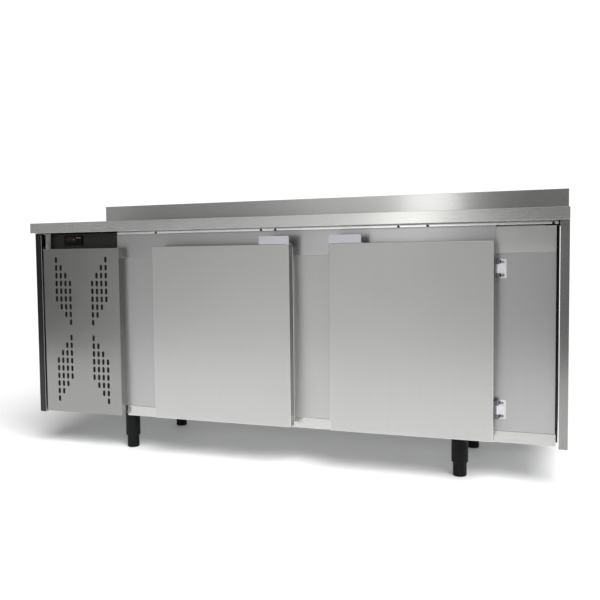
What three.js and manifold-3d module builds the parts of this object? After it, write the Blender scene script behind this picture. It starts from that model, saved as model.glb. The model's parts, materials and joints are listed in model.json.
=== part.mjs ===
// Two-door under counter fridge: a stainless worktop with an upstand on an insulated cabinet,
// with the condensing unit behind a slotted panel at the left and black adjustable legs.
//
// Millimetres, +Z up. Parts are laid out from the left end (x = 0), the door fronts (y = 0) and the
// floor (z = 0), and the whole group is then moved so that its origin is the middle of its footprint.

import * as THREE from 'three';
import { mergeVertices } from 'three/addons/utils/BufferGeometryUtils.js';
import Module from 'manifold-3d';

const wasm = await Module();
wasm.setup();

// ---- driving dimensions ----

const LENGTH = 1800;
const DEPTH = 480;
const TOP = 795; // working height
const FOLD = 35; // height of the worktop's front fold
const UPSTAND = 88;
const UPSTAND_THICK = 20;
const SHEET = 1.5;
const GAP = 0.3; // between touching pieces

const CORE_BOTTOM = TOP - 24; // underside of the board inside the worktop

const BODY_BOTTOM = 117; // underside of the cabinet
const BODY_TOP = 751;
const BACK = 470; // back of the insulated walls
const FACE = 58; // front of the cabinet's face frame
const POST_BACK = 100; // back of the face frame's posts

const SIDE_FRONT = 26; // front of the side panels
const SIDE_THICK = 25;
const SIDE_TOP = TOP - FOLD - 0.5; // the side panels reach the worktop's underside
const END_PANEL_TOP = 747; // top of the header's separate end piece

const PARTITION = 322; // between the condensing unit and the cabinet
const WALL = 40; // insulated wall thickness
const CABINET_RIGHT = 1765;
const SILL_TOP = 152;
const HEADER_BOTTOM = 671;
const OPENING_OVERLAP = 20; // how far a door laps over each side of its opening

const DOOR_WIDTH = 487;
const DOOR_LEFT_X = 495;
const DOOR_RIGHT_X = 1112;
const DOOR_BOTTOM = 131;
const DOOR_TOP = 706;
const DOOR_DEPTH = 34; // the stainless pan of the door
const GASKET_BACK = 56.6;

const HINGE_OUT = 7; // pivot's distance beyond the door's edge
const HINGE_Y = 46;
const HINGE_Z = [216, 626]; // middles of the lower and the upper hinge

const LEG_X = [348, 1494];
const LEG_Y = [90, 438];
const SLEEVE_RADIUS = 25;
const FOOT_RADIUS = 20.5;
const FOOT_TOP = 42;

const GRILLE_X = [32, 345];
const GRILLE_Z = [122, 704];
const GRILLE_FRONT = 28;

const LINER_LEFT = PARTITION + WALL;
const LINER_RIGHT = CABINET_RIGHT - WALL + 8;
const MODULE_X = [985, 1109]; // evaporator housing behind the middle post
const SHELF_Z = 402;

// ---- materials ----

const metal = (color, roughness = 0.35) =>
  new THREE.MeshStandardMaterial({ color, roughness, metalness: 1 });
const plain = (color, roughness = 0.6) =>
  new THREE.MeshStandardMaterial({ color, roughness, metalness: 0 });

const steel = metal(0xb9babb);
const galvanised = metal(0x9fa3a6, 0.5);
const chrome = metal(0xe4e6ea, 0.15);
const handleGrey = metal(0xb8b8c2, 0.4);
const aluminium = metal(0xc3c7cb, 0.45);
const copper = metal(0xb87850, 0.35);
const blackPlastic = plain(0x141615, 0.5);
const greyRubber = plain(0xb9bab6, 0.7);
const blackPaint = plain(0x1b1c1d, 0.35);
const displayGlass = plain(0x0a0506, 0.1);
const whiteWire = plain(0xe6e7e6, 0.4);

// ---- geometry helpers ----

const group = new THREE.Group();
group.position.set(-LENGTH / 2, -DEPTH / 2, 0);

function add(name, geometry, material) {
  const mesh = new THREE.Mesh(geometry, material);
  mesh.name = name;
  group.add(mesh);
}

function toSolid(geometry) {
  const bare = geometry.clone();
  bare.deleteAttribute('normal');
  bare.deleteAttribute('uv');
  const merged = mergeVertices(bare, 1e-4);
  return new wasm.Manifold(
    new wasm.Mesh({
      numProp: 3,
      vertProperties: new Float32Array(merged.attributes.position.array),
      triVerts: new Uint32Array(merged.index.array),
    }),
  );
}

function toGeometry(solid) {
  const mesh = solid.getMesh();
  const geometry = new THREE.BufferGeometry();
  geometry.setAttribute('position', new THREE.BufferAttribute(new Float32Array(mesh.vertProperties), 3));
  geometry.setIndex(new THREE.BufferAttribute(new Uint32Array(mesh.triVerts), 1));
  geometry.computeVertexNormals();
  return geometry;
}

function join(...geometries) {
  return toGeometry(geometries.map(toSolid).reduce((sum, solid) => sum.add(solid)));
}

function cut(geometry, ...tools) {
  return toGeometry(tools.map(toSolid).reduce((rest, tool) => rest.subtract(tool), toSolid(geometry)));
}

function box([x0, x1], [y0, y1], [z0, z1]) {
  const geometry = new THREE.BoxGeometry(x1 - x0, y1 - y0, z1 - z0);
  return geometry.translate((x0 + x1) / 2, (y0 + y1) / 2, (z0 + z1) / 2);
}

// A cylinder along X, Y or Z, from one height along that axis to another.
function rod(axis, [from, to], centre, radius, sides = 24) {
  const geometry = new THREE.CylinderGeometry(radius, radius, to - from, sides);
  if (axis === 'x') geometry.rotateZ(-Math.PI / 2);
  if (axis === 'z') geometry.rotateX(Math.PI / 2);
  const middle = (from + to) / 2;
  const [a, b] = centre;
  if (axis === 'x') return geometry.translate(middle, a, b);
  if (axis === 'y') return geometry.translate(a, middle, b);
  return geometry.translate(a, b, middle);
}

// A lathe about Z from [radius, height] pairs.
function lathe(profile, [x, y], sides = 32) {
  const points = profile.map(([r, z]) => new THREE.Vector2(r, z));
  return new THREE.LatheGeometry(points, sides).rotateX(Math.PI / 2).translate(x, y, 0);
}

function outline(points) {
  return new THREE.Shape(points.map(([a, b]) => new THREE.Vector2(a, b)));
}

// The outline of sheet metal bent along a line of points, with the sheet on the line's left.
function bentSheet(line, thickness = SHEET) {
  const points = line.map(([a, b]) => new THREE.Vector2(a, b));
  const inner = points.map((point, i) => {
    const before = points[Math.max(i - 1, 0)];
    const after = points[Math.min(i + 1, points.length - 1)];
    const into = point.clone().sub(before).normalize();
    const out = after.clone().sub(point).normalize();
    const first = i === 0 ? out : into;
    const last = i === points.length - 1 ? into : out;
    const normal = new THREE.Vector2(-first.y - last.y, first.x + last.x).normalize();
    const mitre = thickness / normal.dot(new THREE.Vector2(-first.y, first.x));
    return point.clone().addScaledVector(normal, mitre);
  });
  return new THREE.Shape([...points, ...inner.reverse()]);
}

const ALONG_X = new THREE.Matrix4().makeBasis(
  new THREE.Vector3(0, 1, 0),
  new THREE.Vector3(0, 0, 1),
  new THREE.Vector3(1, 0, 0),
);
const FACING_FRONT = new THREE.Matrix4().makeBasis(
  new THREE.Vector3(1, 0, 0),
  new THREE.Vector3(0, 0, 1),
  new THREE.Vector3(0, -1, 0),
);

// A (y, z) outline drawn out along X.
function alongX(shape, [x0, x1]) {
  const geometry = new THREE.ExtrudeGeometry(shape, { depth: x1 - x0, bevelEnabled: false, curveSegments: 6 });
  return geometry.applyMatrix4(ALONG_X).translate(x0, 0, 0);
}

// An (x, z) outline as a plate from its front to its back.
function plate(shape, [y0, y1], curveSegments = 3) {
  const geometry = new THREE.ExtrudeGeometry(shape, { depth: y1 - y0, bevelEnabled: false, curveSegments });
  return geometry.applyMatrix4(FACING_FRONT).translate(0, y1, 0);
}

// An (x, y) outline drawn up from one height to another.
function upright(shape, [z0, z1]) {
  const geometry = new THREE.ExtrudeGeometry(shape, { depth: z1 - z0, bevelEnabled: false, curveSegments: 6 });
  return geometry.translate(0, 0, z0);
}

function rectangle([x0, x1], [z0, z1], radius = 0) {
  const shape = new THREE.Shape();
  if (radius === 0) {
    return shape.moveTo(x0, z0).lineTo(x1, z0).lineTo(x1, z1).lineTo(x0, z1).closePath();
  }
  shape.absarc(x1 - radius, z0 + radius, radius, -Math.PI / 2, 0);
  shape.absarc(x1 - radius, z1 - radius, radius, 0, Math.PI / 2);
  shape.absarc(x0 + radius, z1 - radius, radius, Math.PI / 2, Math.PI);
  shape.absarc(x0 + radius, z0 + radius, radius, Math.PI, 1.5 * Math.PI);
  return shape.closePath();
}

function circle([x, z], radius, sides = 32) {
  const shape = new THREE.Shape();
  for (let i = 0; i < sides; i++) {
    const angle = (i * 2 * Math.PI) / sides;
    const point = [x + radius * Math.cos(angle), z + radius * Math.sin(angle)];
    if (i === 0) shape.moveTo(...point);
    else shape.lineTo(...point);
  }
  return shape.closePath();
}

// ---- worktop ----

function buildWorktop() {
  const lip = 14; // returned edge under the front and the back
  const underside = TOP - FOLD;
  const crest = TOP + UPSTAND;
  const upstandFront = DEPTH - UPSTAND_THICK;
  const outside = outline([
    [0, underside],
    [DEPTH, underside],
    [DEPTH, crest],
    [upstandFront, crest],
    [upstandFront, TOP],
    [0, TOP],
  ]);
  const hollow = outline([
    [lip, underside - 1],
    [DEPTH - lip, underside - 1],
    [DEPTH - lip, underside + SHEET],
    [DEPTH - SHEET, underside + SHEET],
    [DEPTH - SHEET, crest - SHEET],
    [upstandFront + SHEET, crest - SHEET],
    [upstandFront + SHEET, TOP - SHEET],
    [SHEET, TOP - SHEET],
    [SHEET, underside + SHEET],
    [lip, underside + SHEET],
  ]);
  const skin = cut(alongX(outside, [0, LENGTH]), alongX(hollow, [SHEET, LENGTH - SHEET]));
  add('worktop', skin, steel);

  const inset = SHEET + GAP;
  add(
    'worktop_core',
    box([inset, LENGTH - inset], [inset, upstandFront - inset], [CORE_BOTTOM, TOP - inset]),
    plain(0xb79a72, 0.8),
  );
}

// ---- cabinet shell ----

function buildSidePanel(name, outer, inward) {
  const at = (inset) => outer + inward * inset;
  const returnDepth = 14;
  const line = [
    [at(SIDE_THICK), SIDE_FRONT + returnDepth],
    [at(SIDE_THICK), SIDE_FRONT],
    [at(0), SIDE_FRONT],
    [at(0), DEPTH - 4],
    [at(SIDE_THICK), DEPTH - 4],
    [at(SIDE_THICK), DEPTH - 4 - returnDepth],
  ];
  const shape = bentSheet(inward > 0 ? line.reverse() : line);
  add(name, upright(shape, [BODY_BOTTOM, SIDE_TOP]), steel);
}

function buildFaceFrame() {
  const posts = [FACE, POST_BACK];
  const between = [SILL_TOP + GAP, HEADER_BOTTOM - GAP];
  const seam = DOOR_RIGHT_X + DOOR_WIDTH + 1;
  const doorLeftEnd = DOOR_LEFT_X + DOOR_WIDTH;
  const doorRightEnd = DOOR_RIGHT_X + DOOR_WIDTH;
  // A shallow groove along the header's top edge parts it from the bright trim above.
  const header = box([PARTITION, seam], posts, [HEADER_BOTTOM, BODY_TOP]);
  const groove = box([PARTITION - 1, seam + 1], [FACE - 1, FACE + 3], [BODY_TOP - 2.5, BODY_TOP + 1]);
  add('header_panel', cut(header, groove), steel);
  add(
    'header_end_panel',
    box([seam + GAP, CABINET_RIGHT], [FACE + 0.5, POST_BACK], [HEADER_BOTTOM, END_PANEL_TOP]),
    steel,
  );
  add('left_stile', box([PARTITION, DOOR_LEFT_X + OPENING_OVERLAP], posts, between), steel);
  add(
    'middle_post',
    box([doorLeftEnd - OPENING_OVERLAP, DOOR_RIGHT_X + OPENING_OVERLAP], posts, between),
    steel,
  );
  add('right_stile', box([doorRightEnd - OPENING_OVERLAP, CABINET_RIGHT], posts, between), steel);
  add('sill_rail', box([350, CABINET_RIGHT + 2], [FACE - 1, POST_BACK], [BODY_BOTTOM + 1, SILL_TOP]), steel);
  // The trim shows as a narrow band under the worktop and steps back behind the worktop's fold.
  const trimFront = FACE - 1;
  const step = trimFront + 12;
  const lip = trimFront + 18;
  const shoulder = TOP - FOLD - 0.5;
  const trim = bentSheet([
    [lip, CORE_BOTTOM - GAP],
    [step, CORE_BOTTOM - GAP],
    [step, shoulder],
    [trimFront, shoulder],
    [trimFront, BODY_TOP + GAP],
    [lip, BODY_TOP + GAP],
  ]);
  add('top_trim', alongX(trim, [PARTITION, CABINET_RIGHT + 6]), steel);
}

function buildInsulatedWalls() {
  const depth = [POST_BACK + GAP, BACK];
  const backFront = BACK - 34;
  const height = [BODY_BOTTOM + 1, BODY_TOP];
  const across = [LINER_LEFT + GAP, LINER_RIGHT - GAP];
  const roofBottom = BODY_TOP - WALL;
  const ledgeDepth = [POST_BACK + 12, backFront - 12];
  const ledgeHeight = [SHELF_Z - 3, SHELF_Z - GAP];
  const leftLedge = box([LINER_LEFT - 1, LINER_LEFT + 16], ledgeDepth, ledgeHeight);
  const rightLedge = box([LINER_RIGHT - 16, LINER_RIGHT + 1], ledgeDepth, ledgeHeight);
  add('partition_wall', join(box([PARTITION, LINER_LEFT], depth, height), leftLedge), steel);
  add('right_wall', join(box([LINER_RIGHT, CABINET_RIGHT + 7], depth, height), rightLedge), steel);
  add('floor_wall', box(across, depth, [BODY_BOTTOM + 1, SILL_TOP]), steel);
  const rail = box([across[0] + 10, across[1] - 10], [BACK - 30, BACK - 10], [BODY_TOP - 1, CORE_BOTTOM - GAP]);
  add('roof_wall', join(box(across, depth, [roofBottom, BODY_TOP]), rail), steel);
  add('back_wall', box(across, [backFront, BACK], [SILL_TOP + GAP, roofBottom - GAP]), steel);
}

// A sheet behind the cabinet, with rows of vents and a cable hole at the condensing unit's end.
function buildRearPanel() {
  const thickness = [BACK + GAP, BACK + 2];
  const through = [BACK - 1, BACK + 3];
  const sheet = box([SIDE_THICK + 3, LENGTH - SIDE_THICK - 3], thickness, [BODY_BOTTOM + 1, SIDE_TOP]);
  const holes = [rod('y', through, [80, 175], 10, 20)];
  const ventWidth = 110;
  const ventHeight = 10;
  for (let column = 0; column < 2; column++) {
    for (let row = 0; row < 10; row++) {
      const x = 50 + column * 140;
      const z = 260 + row * 38;
      holes.push(box([x, x + ventWidth], through, [z, z + ventHeight]));
    }
  }
  add('rear_panel', cut(sheet, ...holes), galvanised);
}

// ---- slotted panel in front of the condensing unit ----

function buildGrille() {
  const slotWidth = 9.4;
  const slotHeight = 21;
  const slotRadius = slotWidth / 2;
  const pitchX = 19;
  const pitchZ = 27.5;
  const innerOffset = 46.5; // from the panel's middle to the nearest column
  const topRow = 664;
  const slotsPerColumn = 6;
  const centre = (GRILLE_X[0] + GRILLE_X[1]) / 2;
  const slots = [];
  for (const side of [-1, 1]) {
    for (let column = 0; column < 4; column++) {
      const x = centre + side * (innerOffset + column * pitchX);
      // The upper columns step down towards the middle and the lower ones away from it.
      for (const firstRow of [3 - column, 10 + column]) {
        for (let row = firstRow; row < firstRow + slotsPerColumn; row++) {
          const z = topRow - row * pitchZ;
          const half = slotHeight / 2;
          const slot = rectangle([x - slotRadius, x + slotRadius], [z - half, z + half], slotRadius - 0.1);
          slots.push(plate(slot, [GRILLE_FRONT - 1, GRILLE_FRONT + 3], 1));
        }
      }
    }
  }
  const front = cut(box(GRILLE_X, [GRILLE_FRONT, GRILLE_FRONT + SHEET], GRILLE_Z), ...slots);
  const [left, right] = GRILLE_X;
  const [bottom, top] = GRILLE_Z;
  const returns = [GRILLE_FRONT, FACE - 1];
  const sides = [
    box([left, left + SHEET], returns, [bottom, top]),
    box([right - SHEET, right], [GRILLE_FRONT, FACE - GAP], [bottom, top]),
    box([left, right], returns, [bottom, bottom + SHEET]),
    box([left, right], returns, [top - SHEET, top]),
  ];
  add('grille_panel', join(front, ...sides), steel);
}

// ---- controls ----

const PANEL_FRONT = 66; // face of the control fascia, back in its recess
const CONTROL_X = [96, 173];
const CONTROL_Z = [716, 752];

function buildFascia() {
  const floor = GRILLE_Z[1] + GAP;
  const folded = bentSheet([
    [SIDE_THICK + 10, SIDE_FRONT + 12],
    [SIDE_THICK + 10, PANEL_FRONT],
    [PARTITION - 10, PANEL_FRONT],
    [PARTITION - 10, FACE],
    [PARTITION - 1, FACE],
  ]);
  const window = box([CONTROL_X[0] + 3, CONTROL_X[1] - 3], [PANEL_FRONT - 4, PANEL_FRONT + 8], [
    CONTROL_Z[0] + 3,
    CONTROL_Z[1] - 3,
  ]);
  add('control_fascia', cut(upright(folded, [floor, TOP - FOLD - 2]), window), metal(0x565a58, 0.45));
}

const KEY_X = [108, 150, 162];
const KEY_Z = 722.5;
const KEY_SIZE = [8, 5];

function buildController() {
  const [left, right] = CONTROL_X;
  const [bottom, top] = CONTROL_Z;
  const front = PANEL_FRONT - 4;
  const bezel = plate(rectangle(CONTROL_X, CONTROL_Z, 4), [front, PANEL_FRONT - GAP], 4);
  const body = box([left + 4, right - 4], [front + 2, PANEL_FRONT + 60], [bottom + 4, top - 4]);
  const display = box([left + 8, left + 48], [front - 1, front + 1.2], [bottom + 13, top - 6]);
  const keyWells = KEY_X.map((x) => {
    const half = KEY_SIZE[0] / 2 + GAP;
    const halfHeight = KEY_SIZE[1] / 2 + GAP;
    return box([x - half, x + half], [front - 1, front + 4], [KEY_Z - halfHeight, KEY_Z + halfHeight]);
  });
  add('controller', cut(join(bezel, body), display, ...keyWells), blackPlastic);
  add(
    'controller_display',
    box([left + 8 + GAP, left + 48 - GAP], [front + 0.2, front + 1], [bottom + 13 + GAP, top - 6 - GAP]),
    displayGlass,
  );
  KEY_X.forEach((x, i) => {
    const face = rectangle([x - KEY_SIZE[0] / 2, x + KEY_SIZE[0] / 2], [
      KEY_Z - KEY_SIZE[1] / 2,
      KEY_Z + KEY_SIZE[1] / 2,
    ], 1.5);
    add(`controller_key_${i + 1}`, plate(face, [front - 0.8, front + 2.2], 3), blackPlastic);
  });
}

// ---- fans: a hub with blades on an axis along X or Y ----

function fan(axis, [from, to], centre, radius, blades) {
  const hubRadius = radius * 0.3;
  const hub = rod(axis, [from, to], centre, hubRadius, 20);
  const bladeLength = radius - hubRadius + 3;
  const parts = [];
  for (let i = 0; i < blades; i++) {
    const blade = new THREE.BoxGeometry(bladeLength, 2, radius * 0.55);
    blade.rotateX(Math.PI / 5);
    blade.translate(hubRadius - 3 + bladeLength / 2, 0, 0);
    blade.rotateY((i * 2 * Math.PI) / blades);
    if (axis === 'x') blade.rotateZ(-Math.PI / 2);
    const middle = (from + to) / 2;
    if (axis === 'x') blade.translate(middle, centre[0], centre[1]);
    else blade.translate(centre[0], middle, centre[1]);
    parts.push(blade);
  }
  return join(hub, ...parts);
}

// A finned block: fins standing on a spine, as an outline in plan drawn up.
function finned([x0, x1], [y0, y1], z, fins, finThickness) {
  const pitch = (x1 - x0 - finThickness) / (fins - 1);
  const spine = (y1 - y0) * 0.25;
  const shape = new THREE.Shape();
  shape.moveTo(x0, y0);
  for (let i = 0; i < fins; i++) {
    const left = x0 + i * pitch;
    shape.lineTo(left + finThickness, y0);
    if (i < fins - 1) {
      shape.lineTo(left + finThickness, y1 - spine);
      shape.lineTo(left + pitch, y1 - spine);
      shape.lineTo(left + pitch, y0);
    }
  }
  shape.lineTo(x1, y1).lineTo(x0, y1).closePath();
  return upright(shape, z);
}

// ---- condensing unit ----

const COMPRESSOR = [215, 330];
const CONDENSER_FAN = [185, 330]; // x and z of its axis
const FAN_RADIUS = 88;

function buildCondensingUnit() {
  const trayX = [40, 315];
  const trayY = [75, 460];
  const trayFloor = BODY_BOTTOM + 2;
  const tray = cut(
    box(trayX, trayY, [trayFloor, trayFloor + 22]),
    box([trayX[0] + 2, trayX[1] - 2], [trayY[0] + 2, trayY[1] - 2], [trayFloor + 2, trayFloor + 40]),
  );
  const base = trayFloor + 1;
  const feet = [-1, 1].flatMap((a) =>
    [-1, 1].map((b) => rod('z', [base, base + 20], [COMPRESSOR[0] + a * 68, COMPRESSOR[1] + b * 45], 9, 16)),
  );
  const saddle = box(
    [COMPRESSOR[0] - 80, COMPRESSOR[0] + 80],
    [COMPRESSOR[1] - 56, COMPRESSOR[1] + 56],
    [base + 14, base + 18],
  );
  add('unit_tray', join(tray, saddle, ...feet), galvanised);

  const shellBottom = base + 18 + GAP;
  const dome = lathe(
    [
      [0, shellBottom],
      [52, shellBottom],
      [64, shellBottom + 14],
      [66, shellBottom + 60],
      [66, shellBottom + 66],
      [69, shellBottom + 66],
      [69, shellBottom + 72],
      [66, shellBottom + 72],
      [66, shellBottom + 110],
      [58, shellBottom + 140],
      [36, shellBottom + 156],
      [0, shellBottom + 160],
    ],
    [COMPRESSOR[0] + 12, COMPRESSOR[1]],
  );
  const relay = box(
    [COMPRESSOR[0] - 80, COMPRESSOR[0] - 40],
    [COMPRESSOR[1] - 26, COMPRESSOR[1] + 26],
    [shellBottom + 30, shellBottom + 90],
  );
  add('compressor', join(dome, relay), blackPaint);

  const finBottom = trayFloor + 2 + GAP;
  add('condenser', finned([60, 310], [80, 120], [finBottom, 440], 26, 2), aluminium);

  const shroudY = [122, 128];
  const [fanX, fanZ] = CONDENSER_FAN;
  const mouth = rod('y', [shroudY[0] - 1, shroudY[1] + 1], CONDENSER_FAN, FAN_RADIUS + 6, 40);
  const shroud = cut(box([75, 300], shroudY, [finBottom, 440]), mouth);
  const motor = rod('y', [166, 205], CONDENSER_FAN, 30);
  const arms = [0, 1, 2].map((i) => {
    const arm = new THREE.BoxGeometry(112, 4, 8).translate(52, 0, 0);
    return arm.rotateY((i * 2 * Math.PI) / 3 + Math.PI / 6).translate(fanX, 188, fanZ);
  });
  const stays = [0, 1, 2].map((i) => {
    const angle = -((i * 2 * Math.PI) / 3 + Math.PI / 6);
    const reach = 104;
    return rod('y', [127, 190], [fanX + reach * Math.cos(angle), fanZ + reach * Math.sin(angle)], 4, 8);
  });
  add('condenser_fan_motor', join(shroud, motor, ...arms, ...stays), blackPaint);
  add('condenser_fan', fan('y', [136, 162], CONDENSER_FAN, FAN_RADIUS, 4), blackPlastic);

  const drierProfile = [
    [0, 470],
    [4, 472],
    [13, 484],
    [13, 560],
    [4, 572],
    [0, 574],
  ];
  const drier = lathe(drierProfile, [280, 440], 20);

  const route = new THREE.CatmullRomCurve3(
    [
      [257.2, 389.3, 263],
      [262, 399, 278],
      [264, 404, 320],
      [268, 418, 380],
      [276, 432, 430],
      [280, 440, 452],
      [280, 440, 478],
    ].map((p) => new THREE.Vector3(...p)),
  );
  const section = circle([0, 0], 4, 10);
  const pipe = new THREE.ExtrudeGeometry(section, { steps: 20, extrudePath: route });
  add('filter_drier', join(drier, pipe), copper);
}

// ---- evaporator in the middle of the cabinet ----

const EVAPORATOR_FAN = [165, 560]; // y and z of its axis

function buildEvaporator() {
  const [left, right] = MODULE_X;
  const front = POST_BACK + 3;
  const back = BACK - 34 - 1;
  const bottom = SILL_TOP + 60;
  const top = BODY_TOP - WALL - 1;
  const folded = bentSheet([
    [right, back],
    [right, front],
    [left, front],
    [left, back],
  ].reverse());
  const cover = upright(folded, [bottom, top]);
  const fanHole = rod('x', [left - 5, left + 5], EVAPORATOR_FAN, 56, 32);
  const outlets = [0, 1, 2, 3, 4, 5].map((i) => {
    const z = 300 + i * 55;
    return box([right - 5, right + 5], [180, 400], [z, z + 18]);
  });
  const ledges = [
    box([left - 14, left + 0.5], [front + 12, back - 12], [SHELF_Z - 3, SHELF_Z - GAP]),
    box([right - 0.5, right + 14], [front + 12, back - 12], [SHELF_Z - 3, SHELF_Z - GAP]),
  ];

  const coilX = [left + 30, right - 12];
  add('evaporator', finned(coilX, [215, back - 6], [bottom + 30, top - 60], 14, 1.6), aluminium);

  const bracket = box([left + 38, left + 41], [front + 0.5, 206], [bottom + 200, top - 40]);
  const motor = rod('x', [left + 34, left + 62], EVAPORATOR_FAN, 22);
  add('evaporator_cover', join(cut(cover, fanHole, ...outlets), ...ledges, bracket, motor), steel);
  add('evaporator_fan', fan('x', [left + 6, left + 30], EVAPORATOR_FAN, 46, 5), blackPlastic);

  const tray = cut(
    box([left + 4, right - 4], [front + 4, back - 4], [bottom - 26, bottom - 1]),
    box([left + 6, right - 6], [front + 6, back - 6], [bottom - 24, bottom + 5]),
  );
  const drain = rod('z', [SILL_TOP + 3, bottom - 20], [(left + right) / 2, back - 40], 9, 16);
  add('drip_tray', join(tray, drain), steel);
}

// ---- shelves ----

function buildShelf(name, [x0, x1]) {
  const front = POST_BACK + 14;
  const back = BACK - 34 - 14;
  const wire = 4;
  const thin = 3;
  const spacing = 31;
  const edges = [
    box([x0, x1], [front, front + wire], [SHELF_Z, SHELF_Z + wire]),
    box([x0, x1], [back - wire, back], [SHELF_Z, SHELF_Z + wire]),
    box([x0, x0 + wire], [front, back], [SHELF_Z, SHELF_Z + wire]),
    box([x1 - wire, x1], [front, back], [SHELF_Z, SHELF_Z + wire]),
  ];
  const count = Math.floor((x1 - x0) / spacing);
  const step = (x1 - x0) / count;
  const crossWires = [];
  for (let i = 1; i < count; i++) {
    const x = x0 + i * step;
    crossWires.push(box([x - thin / 2, x + thin / 2], [front + 1, back - 1], [SHELF_Z + 0.5, SHELF_Z + 3.5]));
  }
  add(name, join(...edges, ...crossWires), whiteWire);
}

function buildShelves() {
  buildShelf('shelf_left', [LINER_LEFT + 4, MODULE_X[0] - 3]);
  buildShelf('shelf_right', [MODULE_X[1] + 3, LINER_RIGHT - 4]);
}

// ---- doors ----

// hinged is -1 for a door hinged at its left edge, +1 for one hinged at its right edge.
function buildDoor(side, x0, hinged) {
  const x1 = x0 + DOOR_WIDTH;
  const height = [DOOR_BOTTOM, DOOR_TOP];
  const pan = [0, DOOR_DEPTH];
  add(`door_${side}_panel`, box([x0, x1], pan, height), steel);

  const linerInset = 4;
  const raised = 30;
  const linerBack = DOOR_DEPTH + 8;
  const liner = join(
    box(
      [x0 + linerInset, x1 - linerInset],
      [DOOR_DEPTH + GAP, linerBack],
      [DOOR_BOTTOM + linerInset, DOOR_TOP - linerInset],
    ),
    box([x0 + raised, x1 - raised], [DOOR_DEPTH + 1, linerBack + 6], [DOOR_BOTTOM + raised, DOOR_TOP - raised - 15]),
  );
  add(`door_${side}_liner`, liner, steel);

  const outer = 6;
  const inner = 20;
  const gasket = cut(
    box([x0 + outer, x1 - outer], [linerBack + GAP, GASKET_BACK], [DOOR_BOTTOM + outer, DOOR_TOP - outer]),
    box([x0 + inner, x1 - inner], [linerBack, FACE], [DOOR_BOTTOM + inner, DOOR_TOP - inner]),
  );
  add(`door_${side}_gasket`, gasket, greyRubber);

  const tabWidth = 101;
  const tabTop = DOOR_TOP + 26;
  const tabX = hinged > 0 ? [x0, x0 + tabWidth] : [x1 - tabWidth, x1];
  const foot = box(tabX, [0, 28], [DOOR_TOP + GAP, DOOR_TOP + 2.3]);
  const tab = plate(rectangle(tabX, [DOOR_TOP + GAP, tabTop], 5), [0, 2.5], 4);
  add(`door_${side}_handle`, join(foot, tab), handleGrey);
}

// A lift-off hinge: a leaf screwed to the cabinet's face with the middle knuckle, and a leaf on the
// door's edge with the outer knuckles and the pin.
function buildHinge(name, edge, hinged, z) {
  const pivot = [edge + hinged * HINGE_OUT, HINGE_Y];
  const spanX = (near, far) => (hinged > 0 ? [edge + near, edge + far] : [edge - far, edge - near]);
  const half = 27.5;
  const knuckle = 13;
  const knuckleRadius = 5.5;
  const bore = rod('z', [z - half - 5, z + half + 5], pivot, 3, 16);
  const frameLeaf = join(
    box(spanX(10, 31), [FACE - 3, FACE - GAP], [z - half, z + half]),
    box(spanX(4, 28), [HINGE_Y + 2, FACE - 1], [z - knuckle, z + knuckle]),
    rod('z', [z - knuckle, z + knuckle], pivot, knuckleRadius, 20),
  );
  add(`${name}_frame_leaf`, cut(frameLeaf, bore), chrome);

  const lugs = [
    [z + knuckle + GAP, z + half - 1],
    [z - half + 1, z - knuckle - GAP],
  ];
  const doorPlate = box(spanX(GAP, 2), [12, HINGE_Y - 3], [z - half + 1, z + half - 1]);
  const arms = lugs.flatMap((span) => [
    rod('z', span, pivot, knuckleRadius, 20),
    box(spanX(1, HINGE_OUT), [HINGE_Y - 5.4, HINGE_Y - 1.5], span),
  ]);
  const pin = rod('z', [z - half + 2, z + half + 2], pivot, 2.5, 16);
  add(`${name}_door_leaf`, join(cut(join(doorPlate, ...arms), bore), pinWithHead(pin, pivot, z + half)), chrome);
}

function pinWithHead(pin, pivot, top) {
  return join(pin, rod('z', [top - 1.2, top + 3], pivot, 4.2, 16));
}

// ---- legs ----

function buildLeg(name, x, y) {
  const sleeve = lathe(
    [
      [11, FOOT_TOP + GAP],
      [SLEEVE_RADIUS - 1.5, FOOT_TOP + GAP],
      [SLEEVE_RADIUS, FOOT_TOP + 2],
      [SLEEVE_RADIUS, BODY_BOTTOM - 3],
      [SLEEVE_RADIUS + 1, BODY_BOTTOM - 2.6],
      [SLEEVE_RADIUS + 1, BODY_BOTTOM + 1 - GAP],
      [11, BODY_BOTTOM + 1 - GAP],
      [11, FOOT_TOP + GAP],
    ],
    [x, y],
  );
  add(`leg_${name}`, sleeve, blackPlastic);
  const foot = lathe(
    [
      [0, 0],
      [FOOT_RADIUS - 3, 0],
      [FOOT_RADIUS - 0.9, 0.9],
      [FOOT_RADIUS, 3],
      [FOOT_RADIUS, FOOT_TOP],
      [10, FOOT_TOP],
      [10, FOOT_TOP + 60],
      [8, FOOT_TOP + 62],
      [0, FOOT_TOP + 62],
    ],
    [x, y],
  );
  add(`foot_${name}`, foot, blackPlastic);
}

// ---- assembly ----

buildWorktop();
buildSidePanel('side_panel_left', 0, 1);
buildSidePanel('side_panel_right', LENGTH, -1);
buildFaceFrame();
buildInsulatedWalls();
buildRearPanel();
buildGrille();
buildFascia();
buildController();
buildCondensingUnit();
buildEvaporator();
buildShelves();
for (const [side, x, hinged] of [
  ['left', DOOR_LEFT_X, -1],
  ['right', DOOR_RIGHT_X, 1],
]) {
  buildDoor(side, x, hinged);
  const edge = hinged > 0 ? x + DOOR_WIDTH : x;
  HINGE_Z.forEach((z, i) => buildHinge(`hinge_${side}_${['lower', 'upper'][i]}`, edge, hinged, z));
}
LEG_X.forEach((x, i) => {
  LEG_Y.forEach((y, j) => buildLeg(`${['front', 'rear'][j]}_${['left', 'right'][i]}`, x, y));
});

export default group;
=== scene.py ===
"""An under counter fridge in brushed stainless steel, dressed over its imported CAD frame.

Metres, +X to the right, +Y to the back, +Z up. Each piece is placed from the boxes of the frame's nodes.
"""

import json
import math

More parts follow.
